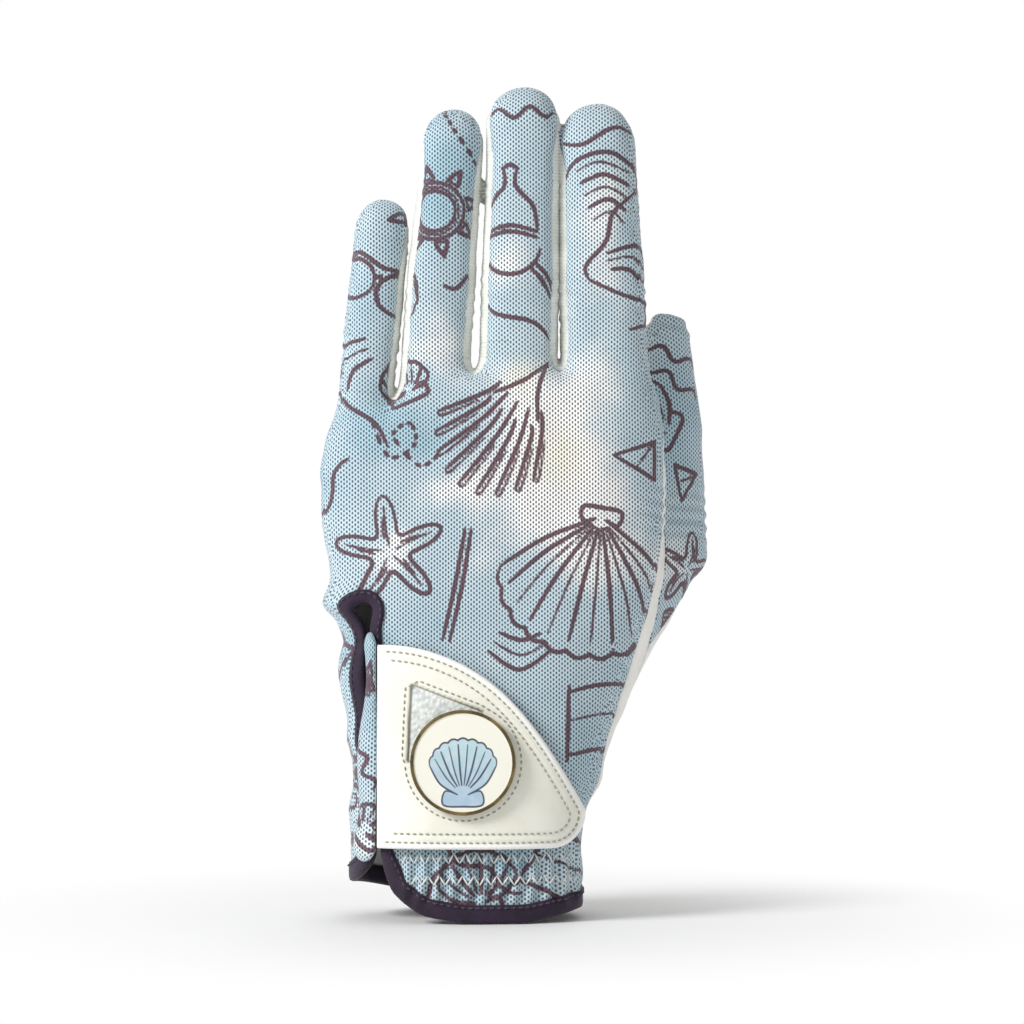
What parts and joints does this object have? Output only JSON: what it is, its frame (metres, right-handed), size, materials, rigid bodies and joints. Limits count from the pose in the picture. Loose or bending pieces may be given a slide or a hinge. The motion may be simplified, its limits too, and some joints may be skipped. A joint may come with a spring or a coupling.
{
  "type": "golf glove",
  "caption": "Left-hand golf glove in its worn shape: printed mesh back, leather palm, bending finger stalls, hook-and-loop wrist tab and a lift-off magnetic ball marker.",
  "frame": {"origin": "the middle of the cuff mouth, where the wrist goes in", "axes": "+Z from the cuff to the fingertips, -Y the back of the hand, +X the thumb side"},
  "size_m": [0.0913, 0.0532, 0.1997],
  "materials": {
    "printed_mesh": "powder-blue mesh knit with a printed line drawing",
    "white_leather": "white cabretta leather, fine grain",
    "tab_leather": "smooth white synthetic leather, satin",
    "pebbled_leather": "pebbled white leather",
    "side_knit": "thin white two-way knit strips between the fingers",
    "dark_tape": "dark plum woven binding tape",
    "elastic": "white knitted elastic",
    "hook_and_loop": "white hook and loop patches",
    "lining": "white tricot backing",
    "marker_metal": "plated, antique",
    "enamel": "soft enamel, glossy",
    "magnet": "nickel-plated magnet"
  },
  "bodies": {
    "hand": {"back_panel": "printed_mesh", "palm_panel": "white_leather", "thumb_gusset": "white_leather", "web_little_ring": "side_knit", "web_ring_middle": "side_knit", "web_middle_index": "side_knit", "thumb_base_back": "printed_mesh", "thumb_base_palm": "white_leather", "cuff_elastic": "elastic", "hem_binding": "dark_tape", "vent_binding": "dark_tape", "loop_patch": "hook_and_loop", "index_crease": "printed_mesh", "middle_crease": "printed_mesh", "ring_crease": "printed_mesh", "little_crease": "printed_mesh", "thumb_crease": "printed_mesh", "tab_hinge": "tab_leather"},
    "index": {"index_back": "printed_mesh", "index_palm": "white_leather", "index_side": "side_knit"},
    "middle": {"middle_back": "printed_mesh", "middle_palm": "white_leather", "middle_side": "side_knit"},
    "ring": {"ring_back": "printed_mesh", "ring_palm": "white_leather", "ring_side": "side_knit"},
    "little": {"little_back": "printed_mesh", "little_palm": "white_leather", "little_side": "side_knit"},
    "thumb": {"thumb_back": "printed_mesh", "thumb_palm": "white_leather"},
    "tab": {"tab_leather": "tab_leather", "tab_lining": "lining", "hook_patch": "hook_and_loop", "window_inlay": "pebbled_leather", "marker_seat": "marker_metal", "marker_magnet": "magnet"},
    "marker": {"marker_rim": "marker_metal", "marker_face": "enamel"}
  },
  "joints": [
    {"name": "index_bend", "type": "hinge", "parent": "hand", "child": "index", "pos_m": [0.03189, 0.00197, 0.149], "axis": [-0.9994, -0.0019, -0.0353], "range_deg": [0, 75], "deforming": ["index_crease"]},
    {"name": "middle_bend", "type": "hinge", "parent": "hand", "child": "middle", "pos_m": [0.01209, 0.00154, 0.151], "axis": [-0.9998, 0.0008, 0.0203], "range_deg": [0, 75], "deforming": ["middle_crease"]},
    {"name": "ring_bend", "type": "hinge", "parent": "hand", "child": "ring", "pos_m": [-0.00713, 0.00173, 0.148], "axis": [-0.9971, 0.0037, 0.0765], "range_deg": [0, 75], "deforming": ["ring_crease"]},
    {"name": "little_bend", "type": "hinge", "parent": "hand", "child": "little", "pos_m": [-0.02333, 0.00237, 0.1385], "axis": [-0.995, 0.0089, 0.0994], "range_deg": [0, 75], "deforming": ["little_crease"]},
    {"name": "thumb_bend", "type": "hinge", "parent": "hand", "child": "thumb", "pos_m": [0.0457, 0.01953, 0.09698], "axis": [-0.9157, -0.3981, 0.0541], "range_deg": [0, 45], "deforming": ["thumb_crease"]},
    {"name": "tab_open", "type": "hinge", "parent": "hand", "child": "tab", "pos_m": [-0.0216, -0.01496, 0.04255], "axis": [0, -0.0524, -0.9986], "range_deg": [0, 120], "deforming": ["tab_hinge"]},
    {"name": "marker_lift", "type": "slide", "parent": "tab", "child": "marker", "axis": [0, -0.9973, 0.0738], "range_m": [0, 0.012]}
  ]
}
